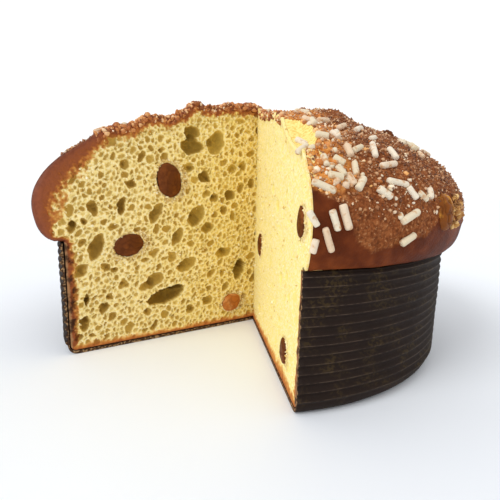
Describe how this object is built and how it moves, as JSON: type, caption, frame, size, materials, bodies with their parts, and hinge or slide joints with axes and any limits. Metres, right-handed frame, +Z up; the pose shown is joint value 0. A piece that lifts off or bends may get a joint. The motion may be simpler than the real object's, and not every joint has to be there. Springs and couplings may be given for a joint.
{
  "type": "panettone",
  "caption": "Low domed panettone with raisins and sugar nibs, a wide slice cut out, in its ribbed paper baking case.",
  "frame": {"origin": "centre of the round paper case, at its underside, where it stands", "axes": "+Z up, -Y along the middle of the missing slice, +X to the right as one looks into the slice"},
  "size_m": [0.2284, 0.2108, 0.1299],
  "materials": {
    "crumb": "soft matt yellow crumb full of bubbles",
    "crust": "baked brown crust, slightly glossy",
    "glaze": "rough baked almond glaze",
    "sugar": "matt ivory sugar",
    "raisin": "wrinkled, dark and moist",
    "peel": "candied, half clear",
    "case_paper": "dark brown fluted baking paper"
  },
  "bodies": {
    "root": {"paper_case": "case_paper", "cake": "crumb", "raisin_left_upper": "raisin", "raisin_left_lower": "raisin", "peel_left_corner": "peel", "raisin_right_high": "raisin", "raisin_right_middle": "raisin", "raisin_right_low": "raisin", "raisin_crust_side": "raisin", "raisin_crust_top": "raisin"}
  },
  "joints": []
}
